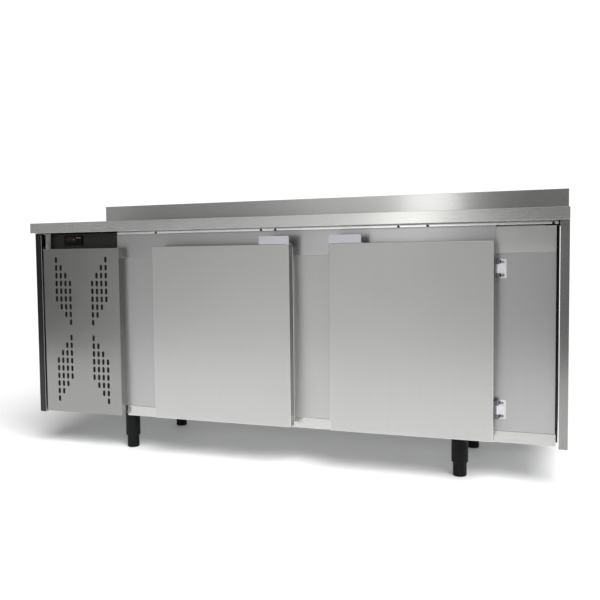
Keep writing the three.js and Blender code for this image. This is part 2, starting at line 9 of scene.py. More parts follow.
import bmesh
import bpy
from mathutils import Matrix, Vector


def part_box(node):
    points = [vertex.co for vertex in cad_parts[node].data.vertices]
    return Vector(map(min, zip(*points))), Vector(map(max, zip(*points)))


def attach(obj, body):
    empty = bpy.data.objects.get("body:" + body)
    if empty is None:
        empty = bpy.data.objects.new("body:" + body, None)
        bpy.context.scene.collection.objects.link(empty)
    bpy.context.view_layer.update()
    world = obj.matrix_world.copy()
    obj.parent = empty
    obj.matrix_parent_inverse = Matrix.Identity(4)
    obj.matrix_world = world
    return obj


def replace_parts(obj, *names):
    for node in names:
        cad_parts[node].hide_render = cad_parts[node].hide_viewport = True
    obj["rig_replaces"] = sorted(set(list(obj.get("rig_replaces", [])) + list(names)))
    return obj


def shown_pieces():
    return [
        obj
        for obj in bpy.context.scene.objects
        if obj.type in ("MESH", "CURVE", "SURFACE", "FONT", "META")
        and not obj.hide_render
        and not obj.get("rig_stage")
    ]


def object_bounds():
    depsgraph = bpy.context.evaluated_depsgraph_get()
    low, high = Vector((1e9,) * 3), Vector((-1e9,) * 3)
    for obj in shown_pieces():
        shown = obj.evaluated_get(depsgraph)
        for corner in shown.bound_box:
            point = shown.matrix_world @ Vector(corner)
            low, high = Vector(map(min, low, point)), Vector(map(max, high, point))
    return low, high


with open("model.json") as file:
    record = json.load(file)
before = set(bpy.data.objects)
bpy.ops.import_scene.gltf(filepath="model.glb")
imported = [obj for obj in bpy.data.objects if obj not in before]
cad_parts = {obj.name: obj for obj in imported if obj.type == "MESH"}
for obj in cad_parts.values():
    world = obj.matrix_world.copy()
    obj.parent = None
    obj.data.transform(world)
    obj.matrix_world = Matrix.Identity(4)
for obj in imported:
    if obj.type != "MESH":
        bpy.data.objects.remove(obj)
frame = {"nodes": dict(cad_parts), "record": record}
cad_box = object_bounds()

MM = 0.001
X = Vector((1, 0, 0))
Y = Vector((0, 1, 0))
Z = Vector((0, 0, 1))

BODY_OF = {node: body for body, nodes in frame["record"]["behaviour"]["bodies"].items() for node in nodes}
SLOT_OF = {part["node"]: part["material_slot"] for part in frame["record"]["subparts"]}


# ---- camera ----

CAMERA_PLACE = Vector((0.8805, -2.3506, 0.6606))
CAMERA_YAW = math.radians(19.88)
CAMERA_PITCH = math.radians(3.26)
CAMERA_ROLL = math.radians(-0.61)
FOCAL_LENGTH = 43.54
SENSOR = 36.0


def make_camera():
    data = bpy.data.cameras.new("camera")
    data.lens = FOCAL_LENGTH
    data.sensor_width = SENSOR
    data.clip_end = 100
    camera = bpy.data.objects.new("camera", data)
    turn = Matrix.Rotation(CAMERA_YAW, 4, "Z")
    tilt = Matrix.Rotation(math.pi / 2 - CAMERA_PITCH, 4, "X")
    roll = Matrix.Rotation(CAMERA_ROLL, 4, "Z")
    camera.matrix_world = Matrix.Translation(CAMERA_PLACE) @ turn @ tilt @ roll
    bpy.context.scene.collection.objects.link(camera)
    bpy.context.scene.camera = camera


# ---- node helpers ----


class Nodes:
    """A small helper that adds nodes to a tree and links them."""

    def __init__(self, tree):
        self.tree = tree

    def add(self, kind, **settings):
        node = self.tree.nodes.new(kind)
        for key, value in settings.items():
            setattr(node, key, value)
        return node

    def link(self, source, target):
        self.tree.links.new(source, target)

    def math(self, operation, a, b=None):
        node = self.add("ShaderNodeMath", operation=operation)
        for socket, value in zip(node.inputs, (a, b)):
            if value is None:
                continue
            if isinstance(value, (int, float)):
                socket.default_value = value
            else:
                self.link(value, socket)
        return node.outputs[0]

    def scaled(self, vector, scale):
        node = self.add("ShaderNodeVectorMath", operation="MULTIPLY")
        self.link(vector, node.inputs[0])
        node.inputs[1].default_value = scale
        return node.outputs[0]

    def noise(self, vector, scale=1.0, detail=2.0, roughness=0.5):
        node = self.add("ShaderNodeTexNoise")
        node.inputs["Scale"].default_value = scale
        node.inputs["Detail"].default_value = detail
        node.inputs["Roughness"].default_value = roughness
        self.link(vector, node.inputs["Vector"])
        return node.outputs["Fac"]

    def spread(self, value, low, high, start=0.3, end=0.7):
        """value, which runs about from start to end, as a number from low to high."""
        node = self.add("ShaderNodeMapRange")
        node.inputs["From Min"].default_value = start
        node.inputs["From Max"].default_value = end
        node.inputs["To Min"].default_value = low
        node.inputs["To Max"].default_value = high
        self.link(value, node.inputs["Value"])
        return node.outputs["Result"]

    def mix(self, factor, a, b):
        node = self.add("ShaderNodeMix", data_type="RGBA")
        self.link(factor, node.inputs[0])
        for socket, value in ((node.inputs[6], a), (node.inputs[7], b)):
            if isinstance(value, tuple):
                socket.default_value = (*value, 1)
            else:
                self.link(value, socket)
        return node.outputs[2]

    def bump(self, height, strength, distance):
        node = self.add("ShaderNodeBump")
        node.inputs["Strength"].default_value = strength
        node.inputs["Distance"].default_value = distance
        self.link(height, node.inputs["Height"])
        return node.outputs["Normal"]


def new_material(name, metallic=0.0, roughness=0.5, colour=(0.5, 0.5, 0.5)):
    material = bpy.data.materials.new(name)
    material.use_nodes = True
    surface = material.node_tree.nodes["Principled BSDF"]
    surface.inputs["Metallic"].default_value = metallic
    surface.inputs["Roughness"].default_value = roughness
    surface.inputs["Base Color"].default_value = (*colour, 1)
    return material, Nodes(material.node_tree), surface


# ---- materials ----

GRAIN_UV = "grain"  # U runs across the brushing and V along it, in metres
FINE_STREAKS = (2600, 14, 1)  # changes of tone per metre, across the brushing and along it
BROAD_STREAKS = (160, 2.2, 1)


def brushed_metal(name, colour, roughness=0.3, anisotropy=0.7, streak=0.05, metallic=1.0):
    """Sheet metal brushed along V: fine streaks in colour, roughness and height."""
    material, n, surface = new_material(name, metallic=metallic)
    uv = n.add("ShaderNodeUVMap", uv_map=GRAIN_UV).outputs["UV"]
    place = n.add("ShaderNodeTexCoord").outputs["Object"]
    hair = n.noise(n.scaled(uv, FINE_STREAKS), detail=3)
    band = n.noise(n.scaled(uv, BROAD_STREAKS), detail=2)
    cloud = n.noise(place, scale=2.6, detail=3)
    dark = tuple(c * (1 - streak) for c in colour)
    light = tuple(min(1.0, c * (1 + streak)) for c in colour)
    streaks = n.math("ADD", n.math("MULTIPLY", hair, 0.7), n.math("MULTIPLY", band, 0.3))
    n.link(n.mix(n.spread(streaks, 0, 1), dark, light), surface.inputs["Base Color"])
    uneven = n.math("ADD", n.spread(hair, -0.02, 0.02), n.spread(cloud, -0.02, 0.02))
    n.link(n.math("ADD", uneven, roughness), surface.inputs["Roughness"])
    n.link(n.bump(hair, 0.05, 0.00004), surface.inputs["Normal"])
    surface.inputs["Anisotropic"].default_value = anisotropy
    tangent = n.add("ShaderNodeTangent", direction_type="UV_MAP", uv_map=GRAIN_UV)
    n.link(tangent.outputs["Tangent"], surface.inputs["Tangent"])
    return material


def moulded(
    name, colour, roughness, metallic=0.0, grain=0.3, depth=0.00006, scale=900, variation=0.15, specular=0.5
):
    """Plastic, rubber or paint: fine orange-peel bump, cloudy colour and uneven gloss."""
    material, n, surface = new_material(name, metallic=metallic)
    place = n.add("ShaderNodeTexCoord").outputs["Object"]
    peel = n.noise(place, scale=scale, detail=2)
    cloud = n.noise(place, scale=14, detail=4)
    dark = tuple(c * (1 - variation) for c in colour)
    light = tuple(min(1.0, c * (1 + variation)) for c in colour)
    n.link(n.mix(n.spread(cloud, 0, 1), dark, light), surface.inputs["Base Color"])
    n.link(n.spread(cloud, roughness - 0.06, roughness + 0.06), surface.inputs["Roughness"])
    n.link(n.bump(peel, grain, depth), surface.inputs["Normal"])
    surface.inputs["Specular IOR Level"].default_value = specular
    return material


def glowing(name, colour, strength):
    """A small lamp behind a diffusing lens."""
    material, n, surface = new_material(name, roughness=0.3)
    place = n.add("ShaderNodeTexCoord").outputs["Object"]
    speckle = n.noise(place, scale=4000, detail=1)
    dim = tuple(c * 0.7 for c in colour)
    n.link(n.mix(n.spread(speckle, 0, 1), dim, colour), surface.inputs["Base Color"])
    surface.inputs["Emission Color"].default_value = (*colour, 1)
    surface.inputs["Emission Strength"].default_value = strength
    return material


def chipboard(name):
    """Dark sealed board of pressed chips."""
    material, n, surface = new_material(name, roughness=0.85)
    place = n.add("ShaderNodeTexCoord").outputs["Object"]
    chips = n.add("ShaderNodeTexVoronoi")
    chips.inputs["Scale"].default_value = 260
    n.link(n.scaled(place, (1, 1, 2.5)), chips.inputs["Vector"])
    shade = n.add("ShaderNodeSeparateColor")
    n.link(chips.outputs["Color"], shade.inputs[0])
    colour = n.mix(shade.outputs[0], (0.035, 0.032, 0.03), (0.10, 0.095, 0.088))
    n.link(colour, surface.inputs["Base Color"])
    n.link(n.bump(chips.outputs["Distance"], 0.4, 0.0004), surface.inputs["Normal"])
    return material


# One steel in several tones: beside its own tone, darker copies paint shade and dark reflections, and
# lighter copies paint highlights and reflections into its colour.
STEEL = (0.60, 0.605, 0.59)
# painted shade: a darker copy for the header under the worktop and the stiles beside the doors
SHADE_PAINTED_STEEL = (0.50, 0.505, 0.50)
# painted dark reflection: a grey copy for the slotted panel, the right side panel's front and the doors'
# side returns
DARK_REFLECTION_PAINTED_STEEL = (0.345, 0.35, 0.34)
# painted reflection: a lighter copy for the worktop's front fold and the sill
REFLECTION_PAINTED_STEEL = (0.68, 0.68, 0.66)
# painted highlight: a lighter copy for rounded edges
HIGHLIGHT_PAINTED_STEEL = (0.80, 0.805, 0.80)
# painted highlight: a bright copy for the trim that the worktop's overhang shades
TRIM_HIGHLIGHT_PAINTED_STEEL = (0.95, 0.95, 0.95)
SHADED_STEEL = (0.05, 0.055, 0.052)
LINING_STEEL = (0.72, 0.73, 0.73)
# painted shade: a near-black copy for the control fascia under the worktop's overhang
FASCIA_SHADE_PAINTED_STEEL = (0.05, 0.055, 0.05)
ZINC = (0.5, 0.52, 0.53)

# The record's material slots by name, and further finishes for faces and pieces, many of which paint light
# and shade into the colour.
MATERIALS = {
    "stainless": brushed_metal("stainless_brushed", STEEL, 0.36, 0.75, streak=0.025),
    "stainless_top": brushed_metal("stainless_worktop", STEEL, 0.23, 0.9, streak=0.03),
    # painted reflection for the worktop's front fold and the sill
    "stainless_front_painted_reflection": brushed_metal("stainless_front_painted_reflection", REFLECTION_PAINTED_STEEL, 0.26, 0.8, streak=0.03),
    "stainless_satin": brushed_metal("stainless_satin", STEEL, 0.22, 0.5, streak=0.04),
    # painted dark reflection for the slotted panel and the side returns
    "stainless_painted_dark_reflection": brushed_metal("stainless_painted_dark_reflection", DARK_REFLECTION_PAINTED_STEEL, 0.22, 0.5, streak=0.04),
    "stainless_shade": brushed_metal("stainless_shade", SHADED_STEEL, 0.25, 0.5),
    # painted shade for the header and the stiles
    "stainless_frame_painted_shade": brushed_metal("stainless_frame_painted_shade", SHADE_PAINTED_STEEL, 0.32, 0.6, streak=0.03),
    # painted highlight on rounded edges
    "stainless_edge_painted_highlight": brushed_metal("stainless_edge_painted_highlight", HIGHLIGHT_PAINTED_STEEL, 0.3, 0.2, streak=0.03),
    # painted highlight for the trim under the worktop
    "stainless_trim_painted_highlight": brushed_metal("stainless_trim_painted_highlight", TRIM_HIGHLIGHT_PAINTED_STEEL, 0.24, 0.3),
    "lining_steel": brushed_metal("lining_satin", LINING_STEEL, 0.32, 0.4, streak=0.03),
    "galvanised": moulded("galvanised_sheet", ZINC, 0.5, metallic=0.8, scale=60, variation=0.05),
    # painted shade for the control fascia
    "fascia_steel": brushed_metal("fascia_painted_shade", FASCIA_SHADE_PAINTED_STEEL, 0.3, 0.5),
    "core_board": chipboard("core_chipboard"),
    "black_plastic": moulded("plastic_black", (0.005, 0.0056, 0.0055), 0.48, specular=0.15),
    "display_window": moulded("window_dark", (0.012, 0.004, 0.004), 0.12, grain=0.05),
    "black_paint": moulded("paint_black", (0.02, 0.02, 0.022), 0.34, scale=500, depth=0.0001),
    "fin_aluminium": brushed_metal("fins_aluminium", (0.72, 0.74, 0.75), 0.35, 0.3),
    # painted shade: near-black fins, so that the slots in the panel look dark
    "fin_painted_shade": brushed_metal("fins_painted_shade", (0.10, 0.10, 0.10), 0.6, 0.2),
    "copper": brushed_metal("copper_drawn", (0.72, 0.36, 0.22), 0.28, 0.3, streak=0.12),
    "white_wire": moulded("wire_coating", (0.80, 0.81, 0.80), 0.4, variation=0.05),
    "gasket_rubber": moulded("gasket_grey", (0.42, 0.43, 0.41), 0.6, scale=1500, variation=0.08),
    "handle_aluminium": moulded("handle_satin", (0.47, 0.47, 0.515), 0.42, metallic=0.35, variation=0.03),
    "hinge_chrome": brushed_metal("hinge_plated", (0.70, 0.70, 0.735), 0.3, 0.2, streak=0.03, metallic=0.5),
    # painted shade: a dark copy for the door's hinge leaves
    "hinge_leaf_painted_shade": brushed_metal("hinge_leaf_painted_shade", (0.22, 0.22, 0.23), 0.35, 0.2),
    "screw_steel": brushed_metal("screw_plated", (0.42, 0.43, 0.45), 0.28, 0.2),
    # painted shade: near-black faces standing in for the shade in recesses, slots and gaps
    "recess": moulded("recess_dark", (0.015, 0.016, 0.018), 0.6, specular=0.2),
    "lamp_red": glowing("lamp_red", (1.0, 0.06, 0.04), 1.0),
    "lamp_white": glowing("lamp_white", (0.9, 0.92, 1.0), 0.8),
}


# ---- mesh helpers ----

FINISH, EDGE, OTHER = range(3)  # the order of a dressed piece's materials


def flatten_cad(node):
    """A bmesh of a CAD node with its doubled points merged and its flat faces made whole again."""
    bm = bmesh.new()
    bm.from_mesh(frame["nodes"][node].data)
    bmesh.ops.remove_doubles(bm, verts=bm.verts, dist=1e-6)
    bmesh.ops.dissolve_limit(bm, angle_limit=math.radians(1), verts=bm.verts, edges=bm.edges)
    return bm


def round_edges(bm, width, segments=2, sharper_than=30):
    """Bevels the sharp edges. The new faces take the edge material."""
    limit = math.radians(sharper_than)
    edges = [e for e in bm.edges if e.is_manifold and e.calc_face_angle(0) > limit]
    bmesh.ops.bevel(
        bm,
        geom=edges,
        offset=width,
        segments=segments,
        profile=0.5,
        affect="EDGES",
        clamp_overlap=True,
        material=EDGE,
    )


def lay_grain(bm, grain):
    """Writes the grain UV: V along the brushing, U across it, on every face."""
    layer = bm.loops.layers.uv.new(GRAIN_UV)
    bm.normal_update()
    for face in bm.faces:
        normal = face.normal
        along = grain - normal * grain.dot(normal)
        if along.length < 0.3:
            spare = Z if abs(grain.z) < 0.5 else X
            along = spare - normal * spare.dot(normal)
        if along.length < 0.05:
            along = normal.orthogonal()
        along.normalize()
        across = along.cross(normal)
        for loop in face.loops:
            loop[layer].uv = (loop.vert.co.dot(across), loop.vert.co.dot(along))


def make_piece(name, bm, materials, body, smooth=True):
    """An object from a bmesh that rides on a CAD body. A smooth one gets even shading."""
    mesh = bpy.data.meshes.new(name)
    for face in bm.faces:
        face.smooth = smooth
    bm.to_mesh(mesh)
    bm.free()
    for material in materials:
        mesh.materials.append(MATERIALS[material])
    piece = bpy.data.objects.new(name, mesh)
    bpy.context.scene.collection.objects.link(piece)
    if smooth:
        shading = piece.modifiers.new("even_shading", "WEIGHTED_NORMAL")
        shading.weight = 100
    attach(piece, body)
    return piece


def dress(
    node,
    grain=Z,
    width=0.6 * MM,
    segments=2,
    finish=None,
    edge=None,
    faces=(),
    below=math.inf,
    other=None,
):
    """Stands in for a CAD node with the same shape, its edges rounded and its grain laid.

    The flat faces that look in one of the directions in faces, and whose middle lies below a height,
    take the finish other, which paints light and shade on them.
    """
    slot = SLOT_OF[node]
    finish = finish or slot
    bm = flatten_cad(node)
    round_edges(bm, width, segments)
    lay_grain(bm, grain)
    for face in bm.faces:
        looks_there = any(face.normal.dot(direction) > 0.9 for direction in faces)
        if face.material_index == FINISH and looks_there and face.calc_center_median().z < below:
            face.material_index = OTHER
    piece = make_piece(node + "_finish", bm, [finish, edge or finish, other or finish], BODY_OF[node])
    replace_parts(piece, node)
    return piece


# ---- studio ----

FLOOR_FRONT = 2.15  # how far the pale floor runs in front of the doors
FLOOR_BACK = 6
FLOOR_SIDE = 5
FLOOR_GAP = 0.2 * MM  # keeps the floor clear of the feet
SUN_FROM = Vector((0.55, -0.6, 0.95))
SUN_ENERGY = 3.8
SUN_ANGLE = math.radians(42)
STRIP_PLACE = Vector((-0.44, -5.0, 1.35))
STRIP_TARGET = Vector((-0.44, 0.0, 0.9))
STRIP_WIDTH = 0.62
STRIP_HEIGHT = 0.9
STRIP_POWER = 3.5


def make_studio():
    """A pale floor, a wide soft sun from the right, a weak strip of light and the room."""
    make_floor()
    make_sun()
    make_strip()
    make_world()


def make_floor():
    low = cad_box[0]
    front = low[1] - FLOOR_FRONT
    corners = [
        (-FLOOR_SIDE, front),
        (FLOOR_SIDE, front),
        (FLOOR_SIDE, FLOOR_BACK),
        (-FLOOR_SIDE, FLOOR_BACK),
    ]
    bm = bmesh.new()
    bm.faces.new([bm.verts.new((x, y, 0)) for x, y in corners])
    mesh = bpy.data.meshes.new("floor")
    bm.to_mesh(mesh)
    bm.free()
    mesh.materials.append(floor_paper())
    floor = bpy.data.objects.new("floor", mesh)
    floor.location.z = low[2] - FLOOR_GAP
    bpy.context.scene.collection.objects.link(floor)
    floor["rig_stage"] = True


def floor_paper():
    """Nearly white paper that glows a little, which keeps the shadows light."""
    material, n, surface = new_material("floor_paper", roughness=0.75)
    place = n.add("ShaderNodeTexCoord").outputs["Object"]
    cloud = n.noise(place, scale=3, detail=3)
    colour = n.mix(n.spread(cloud, 0, 1), (0.90, 0.90, 0.90), (0.92, 0.92, 0.92))
    n.link(colour, surface.inputs["Base Color"])
    surface.inputs["Emission Color"].default_value = (1, 1, 1, 1)
    surface.inputs["Emission Strength"].default_value = 0.05
    return material


def make_sun():
    data = bpy.data.lights.new("sun", "SUN")
    data.energy = SUN_ENERGY
    data.angle = SUN_ANGLE
    sun = bpy.data.objects.new("sun", data)
    sun.rotation_euler = SUN_FROM.to_track_quat("Z", "Y").to_euler()
    bpy.context.scene.collection.objects.link(sun)


def make_strip():
    data = bpy.data.lights.new("strip", "AREA")
    data.shape = "RECTANGLE"
    data.size = STRIP_WIDTH
    data.size_y = STRIP_HEIGHT
    data.energy = STRIP_POWER
    strip = bpy.data.objects.new("strip", data)
    strip.location = STRIP_PLACE
    strip.rotation_euler = (STRIP_TARGET - STRIP_PLACE).to_track_quat("-Z", "Y").to_euler()
    bpy.context.scene.collection.objects.link(strip)


# Brightness of the room by direction, in turns from the room's front (-Y): left is negative.
# The first list is the room up to the horizon, the second is the room above it.
ROOM = [
    (-0.50, 1.10),
    (-0.36, 1.10),
    (-0.30, 0.45),
    (-0.17, 0.10),
    (-0.116, 0.03),
    (-0.109, 0.10),
    (-0.096, 0.50),
    (-0.085, 0.85),
    (-0.055, 1.00),
    (-0.030, 1.40),
    (-0.018, 0.72),
    (-0.008, 0.16),
    (0.03, 0.16),
    (0.08, 0.42),
    (0.25, 0.34),
    (0.44, 0.60),
    (0.47, 1.10),
    (0.50, 1.10),
]
UPPER_ROOM = [
    (-0.50, 1.10),
    (-0.36, 1.10),
    (-0.30, 0.40),
    (-0.14, 0.30),
    (-0.12, 0.60),
    (-0.105, 0.60),
    (-0.096, 0.03),
    (-0.085, 0.02),
    (-0.068, 0.10),
    (-0.055, 0.45),
    (-0.036, 0.72),
    (-0.031, 0.86),
    (-0.0235, 0.86),
    (-0.0195, 0.10),
    (-0.012, 0.09),
    (0.0, 0.18),
    (0.04, 0.20),
    (0.25, 0.30),
    (0.44, 0.60),
    (0.47, 1.10),
    (0.50, 1.10),
]
CEILING = 0.12
UPPER_RISE = (0.02, 0.07)  # where the room turns into the upper room, as the height of a direction
CEILING_RISE = (0.3, 0.6)  # where the upper room turns into the ceiling
BACKDROP = 1.10  # the plain backdrop that the camera sees in place of the room


def ring_of_light(n, turn, levels):
    """The levels as a ramp round the room."""
    node = n.add("ShaderNodeValToRGB")
    elements = node.color_ramp.elements
    n.link(turn, node.inputs[0])
    while len(elements) < len(levels):
        elements.new(0.5)
    for element, (place, level) in zip(elements, levels):
        element.position = place + 0.5
        element.color = (level, level, level, 1)
    return node.outputs[0]


def make_world():
    """The room that the steel shows, with a plain backdrop where the camera looks at it."""
    world = bpy.data.worlds.new("studio")
    bpy.context.scene.world = world
    world.use_nodes = True
    n = Nodes(world.node_tree)
    background = world.node_tree.nodes["Background"]
    direction = n.add("ShaderNodeSeparateXYZ")
    n.link(n.add("ShaderNodeTexCoord").outputs["Generated"], direction.inputs[0])
    x, y, z = direction.outputs
    turn = n.math("DIVIDE", n.math("ARCTAN2", x, n.math("MULTIPLY", y, -1)), 2 * math.pi)
    place = n.math("ADD", turn, 0.5)
    upper = n.spread(z, 0, 1, *UPPER_RISE)
    walls = n.mix(upper, ring_of_light(n, place, ROOM), ring_of_light(n, place, UPPER_ROOM))
    ceiling = n.spread(z, 0, 1, *CEILING_RISE)
    room = n.mix(ceiling, walls, (CEILING, CEILING, CEILING))
    seen = n.add("ShaderNodeLightPath").outputs["Is Camera Ray"]
    n.link(n.mix(seen, room, (BACKDROP, BACKDROP, BACKDROP)), background.inputs[0])
    background.inputs[1].default_value = 1.0
    bpy.context.scene.view_settings.view_transform = "Standard"


# ---- small shapes ----


def add_block(bm, low, high, material=0):
    """An upright box from its lowest to its highest corner."""
    size = Vector(high) - Vector(low)
    middle = (Vector(high) + Vector(low)) / 2
    place = Matrix.Translation(middle) @ Matrix.Diagonal((*size, 1))
    corners = bmesh.ops.create_cube(bm, size=1, matrix=place)["verts"]
    for face in {face for corner in corners for face in corner.link_faces}:
        face.material_index = material


def add_wire(bm, start, end, radius, sides=10):
    """A round wire with rounded-off ends."""
    start, end = Vector(start), Vector(end)
    place = Matrix.Translation(start) @ (end - start).to_track_quat("Z", "Y").to_matrix().to_4x4()
    length = (end - start).length
    rim = radius * 0.4
    rings = [(radius - rim, 0), (radius, rim), (radius, length - rim), (radius - rim, length)]
    add_lathe(bm, place, rings, sides)


def add_lathe(bm, place, rings, sides, material=0):
    """Rings of (radius, height) about the place's own Z, closed at both ends."""
    loops = []
    for radius, height in rings:
        ring = []
        for i in range(sides):
            turn = 2 * math.pi * i / sides
            point = Vector((radius * math.cos(turn), radius * math.sin(turn), height))
            ring.append(bm.verts.new(place @ point))
        loops.append(ring)
    faces = [bm.faces.new(list(reversed(loops[0]))), bm.faces.new(loops[-1])]
    for lower, upper in zip(loops, loops[1:]):
        for i in range(sides):
            j = (i + 1) % sides
            faces.append(bm.faces.new((lower[i], lower[j], upper[j], upper[i])))
    for face in faces:
        face.material_index = material


def add_ring(bm, place, radius, wire, sides=40):
    """A round wire bent to a ring about the place's own Z."""
    section = 8
    loops = []
    for i in range(sides):
        turn = 2 * math.pi * i / sides
        loop = []
        for j in range(section):
            around = 2 * math.pi * j / section
            reach = radius + wire * math.cos(around)
            point = Vector((reach * math.cos(turn), reach * math.sin(turn), wire * math.sin(around)))
            loop.append(bm.verts.new(place @ point))
        loops.append(loop)
    for loop, following in zip(loops, loops[1:] + loops[:1]):
        for j in range(section):
            k = (j + 1) % section
            bm.faces.new((loop[j], following[j], following[k], loop[k]))


def add_screw(bm, centre, facing, radius):
    """A domed screw head with a cross in painted shade, standing on centre."""
    place = Matrix.Translation(centre) @ Vector(facing).to_track_quat("Z", "Y").to_matrix().to_4x4()
    dome = [(1.0, 0.0), (1.0, 0.2), (0.85, 0.38), (0.5, 0.5)]
    add_lathe(bm, place, [(radius * r, radius * h) for r, h in dome], 20)
    # The cross recess is two flat faces in painted shade on top of the dome.
    top = radius * 0.505
    arm, half = radius * 0.48, radius * 0.11
    for a, b in ((arm, half), (half, arm)):
        corners = [(-a, -b), (a, -b), (a, b), (-a, b)]
        face = bm.faces.new([bm.verts.new(place @ Vector((*corner, top))) for corner in corners])
        face.material_index = 1


def screws(name, places, facing, body, radius=4.2 * MM):
    """Several screws on one body as one piece."""
    bm = bmesh.new()
    for centre in places:
        add_screw(bm, centre, facing, radius)
    lay_grain(bm, X)
    piece = make_piece(name, bm, ["screw_steel", "recess"], body)


def swept_frame(bm, low, high, front, profile):
    """A closed profile of (inset, depth) pairs swept round an upright rectangle, with mitred corners."""
    loops = []
    for inset, depth in profile:
        xs = (low.x + inset, high.x - inset)
        zs = (low.z + inset, high.z - inset)
        corners = [(xs[0], zs[0]), (xs[1], zs[0]), (xs[1], zs[1]), (xs[0], zs[1])]
        loops.append([bm.verts.new((x, front + depth, z)) for x, z in corners])
    for loop, following in zip(loops, loops[1:] + loops[:1]):
        for i in range(4):
            j = (i + 1) % 4
            bm.faces.new((loop[i], loop[j], following[j], following[i]))
    bmesh.ops.recalc_face_normals(bm, faces=bm.faces)


def corners_of(node):
    low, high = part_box(node)
    return Vector(low), Vector(high)


# ---- the fridge ----

HINGES = ["left_lower", "left_upper", "right_lower", "right_upper"]
DOORS = ["left", "right"]


def dress_shell():
    """The outer sheet metal: brushed along the worktop and rails, and upright on the rest."""
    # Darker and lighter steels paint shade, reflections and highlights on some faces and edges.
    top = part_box("worktop_core")[1][2]
    # The worktop's front fold is lighter as a painted reflection; its rounded edges are lighter as a
    # painted highlight.
    dress(
        "worktop",
        grain=X,
        finish="stainless_top",
        edge="stainless_edge_painted_highlight",
        faces=[-Y],
        below=top,
        other="stainless_front_painted_reflection",
    )
    # The header is darker as painted shade under the worktop's overhang.
    dress("header_panel", grain=X, width=0.3 * MM, finish="stainless_frame_painted_shade", edge="stainless_edge_painted_highlight")
    # Rounded edges in the lighter edge steel are a painted highlight.
    dress("header_end_panel", grain=X, width=0.3 * MM, edge="stainless_edge_painted_highlight")
    # The sill is lighter as a painted reflection.
    dress("sill_rail", grain=X, finish="stainless_front_painted_reflection")
    dress("right_wall", faces=[-Y], other="stainless_shade")
    # The fascia is near-black as painted shade; its wing faces looking along +X take the white wire coating
    # as a painted highlight.
    dress("control_fascia", grain=X, faces=[X], other="white_wire")
    dress("middle_post", width=0.3 * MM, edge="stainless_edge_painted_highlight")
    # The stiles are darker as painted shade beside the doors.
    for node in ("left_stile", "right_stile"):
        dress(node, width=0.3 * MM, finish="stainless_frame_painted_shade", edge="stainless_edge_painted_highlight")
    # The slotted panel is grey as a painted dark reflection.
    dress("grille_panel", width=0.3 * MM, finish="stainless_painted_dark_reflection", edge="stainless_satin")
    # The front flanges of the side panels, and the right one's inner return, are darker as painted shade
    # and painted dark reflection.
    for side, faces, front in (("left", [-Y], "stainless_shade"), ("right", [-Y, -X], "stainless_painted_dark_reflection")):
        panel = f"side_panel_{side}"
        dress(panel, finish="stainless_satin", edge="stainless_edge_painted_highlight", faces=faces, other=front)
    dress_trim()


CLIP_SHARES = (0.107, 0.375, 0.409, 0.685, 0.746, 0.99)  # where the clips are along the trim


def dress_trim():
    """The strip under the worktop, lightened as painted highlight, with small clips in painted shade."""
    dress("top_trim", grain=X, finish="stainless_trim_painted_highlight")
    low, high = corners_of("top_trim")
    front = low.y - 1.2 * MM
    head = low.z + 4.5 * MM
    tip = low.z + 7 * MM
    bm = bmesh.new()
    # The clips are dark blocks, their colour painted shade.
    for share in CLIP_SHARES:
        x = low.x + (high.x - low.x) * share
        add_block(bm, (x - 4 * MM, front, low.z), (x + 4 * MM, low.y, head))
        add_block(bm, (x - 1.5 * MM, front, head), (x + 1.5 * MM, low.y, tip))
    clips = make_piece("trim_clips_painted_shade", bm, ["recess"], "cabinet", smooth=False)


def dress_doors():
    """Pans with soft folded edges, pressed liners, bellows gaskets and rounded handle tabs."""
    for side in DOORS:
        panel = f"door_{side}_panel"
        # The door's side return looking along +X is grey as a painted dark reflection; its rounded edges
        # are lighter as a painted highlight.
        dress(panel, width=1.6 * MM, segments=4, edge="stainless_edge_painted_highlight", faces=[X], other="stainless_painted_dark_reflection")
        dress(f"door_{side}_liner", width=2.5 * MM, segments=3)
        dress(f"door_{side}_handle", width=0.8 * MM, segments=3)
        dress_gasket(f"door_{side}_gasket", f"{side}_door")


def dress_gasket(node, body):
    """A soft strip with a dart fixed in the liner, two folds and a rounded sealing bulb."""
    low, high = corners_of(node)
    depth = high.y - low.y
    width = 14 * MM
    shares = [
        (0.08, 0.0),
        (0.92, 0.0),
        (1.0, 0.1),
        (0.86, 0.22),
        (1.0, 0.36),
        (0.88, 0.48),
        (1.0, 0.62),
        (1.0, 0.84),
        (0.86, 1.0),
        (0.14, 1.0),
        (0.0, 0.84),
        (0.0, 0.62),
        (0.12, 0.48),
        (0.0, 0.36),
        (0.14, 0.22),
        (0.0, 0.1),
    ]
    bm = bmesh.new()
    swept_frame(bm, low, high, low.y, [(width * across, depth * along) for across, along in shares])
    piece = make_piece(node + "_bellows", bm, ["gasket_rubber"], body, smooth=False)
    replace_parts(piece, node)


def dress_hinges():
    """Plated leaves, the door's leaf darker as painted shade, with screws and painted shade in the hollows
    of each plate on the cabinet.
    """
    for hinge in HINGES:
        dress(f"hinge_{hinge}_frame_leaf", width=0.5 * MM)
        # The door's leaf is darker as painted shade.
        dress(f"hinge_{hinge}_door_leaf", width=0.4 * MM, finish="hinge_leaf_painted_shade")
        dress_hinge_plate(hinge)


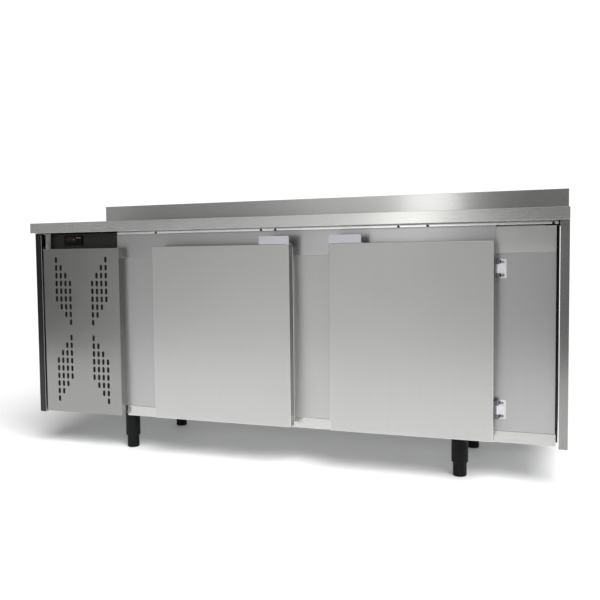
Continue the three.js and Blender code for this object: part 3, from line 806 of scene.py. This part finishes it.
def dress_hinge_plate(hinge):
    """Two screws, and painted shade for a slot beside each and for the groove where the leaf bends to its
    knuckle.
    """
    low, high = corners_of(f"hinge_{hinge}_frame_leaf")
    outward = 1 if hinge.startswith("right") else -1
    outer = high.x if outward > 0 else low.x
    face = high.y - 2.7 * MM
    heights = (high.z - 7.5 * MM, low.z + 7.5 * MM)

    screw_x = outer - outward * 9 * MM
    screws(f"hinge_{hinge}_screws", [(screw_x, face, z) for z in heights], -Y, "cabinet")

    # Thin dark blocks just proud of the plate paint the shade of the slots and the groove.
    bm = bmesh.new()
    slot_x = outer - outward * 18.5 * MM
    slot = sorted((slot_x, slot_x + outward * 4 * MM))
    for z in heights:
        add_block(bm, (slot[0], face - 0.15 * MM, z - 4.5 * MM), (slot[1], face, z + 4.5 * MM))
    groove_x = outer - outward * 24 * MM
    groove = sorted((groove_x, groove_x + outward * 1.2 * MM))
    margin = 16 * MM
    lower = (groove[0], low.y + 2 * MM, low.z + margin)
    upper = (groove[1], low.y + 6.9 * MM, high.z - margin)
    add_block(bm, lower, upper)
    piece = make_piece(f"hinge_{hinge}_recesses", bm, ["recess"], "cabinet", smooth=False)


def dress_controls():
    """The controller's glossy bezel with its window, lamps and keys."""
    dress("controller", width=0.8 * MM, segments=3)
    dress("controller_display", width=0.2 * MM)
    dress_lamps()
    for number in (1, 2, 3):
        dress(f"controller_key_{number}", width=0.5 * MM, segments=3)


def dress_lamps():
    """Two lit dots in the window and three round signal lamps on the bezel."""
    red, white = range(2)
    bm = bmesh.new()
    low, high = corners_of("controller_display")
    face = low.y - 0.1 * MM
    middle = (low.z + high.z) / 2
    for offset in (30, 35):
        x = low.x + offset * MM
        lower = (x, face, middle - 0.8 * MM)
        upper = (x + 1.2 * MM, low.y, middle + 0.8 * MM)
        add_block(bm, lower, upper, red)
    low, high = corners_of("controller")
    lens = [(1.0 * MM, 0), (1.0 * MM, 0.2 * MM), (0.6 * MM, 0.4 * MM)]
    for offset, colour in ((9, white), (15, red), (21, white)):
        centre = (high.x - offset * MM, low.y + 0.02 * MM, high.z - 9 * MM)
        place = Matrix.Translation(centre) @ Matrix.Rotation(math.pi / 2, 4, "X")
        add_lathe(bm, place, lens, 12, colour)
    lamps = make_piece("controller_lamps", bm, ["lamp_red", "lamp_white"], "cabinet", smooth=False)


def dress_shelves():
    """Round welded wires in the place of each plain grid."""
    for side in DOORS:
        node = f"shelf_{side}"
        low, high = corners_of(node)
        thick = 2 * MM
        thin = 1.5 * MM
        spacing = 31 * MM
        z = low.z + thick
        bm = bmesh.new()
        for y in (low.y + thick, high.y - thick):
            add_wire(bm, (low.x + thick, y, z), (high.x - thick, y, z), thick)
        for x in (low.x + thick, high.x - thick):
            add_wire(bm, (x, low.y, z), (x, high.y, z), thick)
        count = int((high.x - low.x) / spacing)
        raised = z + 0.2 * MM
        for i in range(1, count):
            x = low.x + (high.x - low.x) * i / count
            add_wire(bm, (x, low.y + 1 * MM, raised), (x, high.y - 1 * MM, raised), thin, sides=8)
        piece = make_piece(node + "_wires", bm, ["white_wire"], "cabinet")
        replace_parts(piece, node)


def dress_machinery():
    """A dark mat in a frame behind the slots as painted shade, fins darkened as painted shade and the
    compressor's smooth shell.
    """
    inset = 10
    setback = 5
    rim = 8 * MM
    low, high = corners_of("grille_panel")
    low += Vector((inset, setback, inset)) * MM
    high -= Vector((inset, 0, inset)) * MM
    back = low.y + 6 * MM
    # The mat and its frame are dark blocks of painted shade behind the slots.
    bm = bmesh.new()
    mat_low = (low.x + rim, low.y + 2 * MM, low.z + rim)
    mat_high = (high.x - rim, back - 1 * MM, high.z - rim)
    add_block(bm, mat_low, mat_high)
    for x in (low.x, high.x - rim):
        add_block(bm, (x, low.y, low.z), (x + rim, back, high.z), 1)
    for z in (low.z, high.z - rim):
        add_block(bm, (low.x + rim, low.y, z), (high.x - rim, back, z + rim), 1)
    slot_shade_mat = make_piece("slot_shade_mat", bm, ["recess", "black_plastic"], "cabinet", smooth=False)
    # The condenser's fins are near-black as painted shade behind the slots.
    dress("condenser", width=0.2 * MM, finish="fin_painted_shade")
    dress("compressor", width=1.5 * MM, segments=3)


def dress_fan_guard():
    """Rings and spokes of wire over the evaporator fan's mouth."""
    low, high = corners_of("evaporator_fan")
    cover_low = corners_of("evaporator_cover")[0]
    mouth = cover_low.x + 14 * MM
    centre = Vector((mouth - 2.5 * MM, (low.y + high.y) / 2, (low.z + high.z) / 2))
    place = Matrix.Translation(centre) @ X.to_track_quat("Z", "Y").to_matrix().to_4x4()
    wire = 1.1 * MM
    spokes = 3
    spoke_end = 63 * MM
    bm = bmesh.new()
    for radius in (14, 24, 34, 44, 54, 62):
        add_ring(bm, place, radius * MM, wire)
    for i in range(spokes):
        turn = math.pi * i / spokes
        reach = Vector((0, math.cos(turn), math.sin(turn))) * spoke_end
        add_wire(bm, centre - reach + X * wire, centre + reach + X * wire, wire)
    guard = make_piece("evaporator_fan_guard", bm, ["white_wire"], "cabinet")


def dress_back():
    """Screws round the rear panel."""
    inset = 12 * MM
    columns = 8
    rows = 4
    low, high = corners_of("rear_panel")
    places = []
    for i in range(columns + 1):
        x = low.x + inset + (high.x - low.x - 2 * inset) * i / columns
        places += [(x, high.y, low.z + inset), (x, high.y, high.z - inset)]
    for i in range(1, rows):
        z = low.z + inset + (high.z - low.z - 2 * inset) * i / rows
        places += [(low.x + inset, high.y, z), (high.x - inset, high.y, z)]
    screws("rear_panel_screws", places, Y, "cabinet", 4 * MM)


def dress_rest():
    """Everything not dressed by now: inside walls, machinery and feet."""
    hidden = {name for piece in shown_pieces() for name in piece.get("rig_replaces", [])}
    for node in frame["nodes"]:
        if node not in hidden:
            dress(node, width=0.4 * MM)


make_camera()
make_studio()
dress_shell()
dress_doors()
dress_hinges()
dress_controls()
dress_shelves()
dress_machinery()
dress_fan_guard()
dress_back()
dress_rest()
